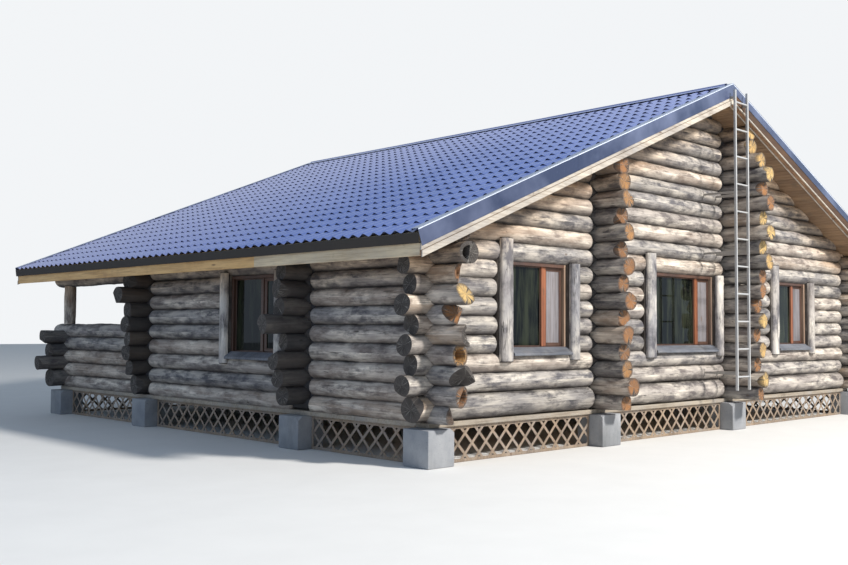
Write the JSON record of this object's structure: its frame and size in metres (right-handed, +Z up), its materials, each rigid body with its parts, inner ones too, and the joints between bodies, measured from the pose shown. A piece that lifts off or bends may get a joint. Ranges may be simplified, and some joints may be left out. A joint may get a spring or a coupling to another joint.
{
  "type": "log cabin",
  "caption": "Log cabin with saddle-notched corners, a low gable roof of tile-formed sheet, a roofed rear terrace, timber windows, lattice skirting and a roof ladder.",
  "frame": {"origin": "on the ground below the middle of the whole cabin", "axes": "+Z up, front gable faces -Y, long left wall faces -X, terrace at +Y"},
  "size_m": [13.72, 11.435, 5.5311],
  "materials": {
    "weathered_log": "weathered",
    "sheltered_log": "weathered",
    "old_board": "weathered",
    "new_board": "sawn",
    "soffit_board": "sawn",
    "lattice_wood": "weathered",
    "window_timber": "stained",
    "trim_timber": "weathered",
    "deck_timber": "weathered",
    "roof_tile_sheet": "satin",
    "verge_metal": "satin",
    "dark_flashing": "satin",
    "ladder_metal": "satin",
    "glass": "clear",
    "pier_concrete": "rough"
  },
  "bodies": {
    "root": {"front_wall": "weathered_log", "front_gable": "sheltered_log", "left_wall": "weathered_log", "right_wall": "weathered_log", "terrace_wall": "sheltered_log", "terrace_gable": "sheltered_log", "terrace_rail": "weathered_log", "terrace_tie_beam": "weathered_log", "cross_wall_ends_front": "weathered_log", "cross_wall_ends_left": "weathered_log", "cross_wall_ends_right": "weathered_log", "roof_purlins": "sheltered_log", "sill_planks": "trim_timber", "foundation_piers": "pier_concrete", "floor_boards": "deck_timber", "terrace_deck": "deck_timber", "lattice_front": "lattice_wood", "lattice_back": "lattice_wood", "lattice_left": "lattice_wood", "lattice_right": "lattice_wood", "window_frames": "window_timber", "window_glass": "glass", "window_casings": "trim_timber", "window_sills": "trim_timber", "door_frame": "window_timber", "terrace_door": "window_timber", "terrace_posts": "weathered_log", "soffit_boards_left": "soffit_board", "soffit_boards_right": "soffit_board", "rafters_left": "soffit_board", "rafters_right": "soffit_board", "roof_sheet_left": "roof_tile_sheet", "roof_sheet_right": "roof_tile_sheet", "ridge_cap": "roof_tile_sheet", "eave_board_left_front": "old_board", "eave_board_left_rear": "new_board", "eave_board_right": "old_board", "eave_flashings": "dark_flashing", "verge_boards_left": "old_board", "verge_boards_right": "old_board", "verge_flashings_left": "verge_metal", "verge_flashings_right": "verge_metal", "roof_ladder": "ladder_metal", "ladder_brackets": "ladder_metal", "terrace_steps": "deck_timber"}
  },
  "joints": []
}
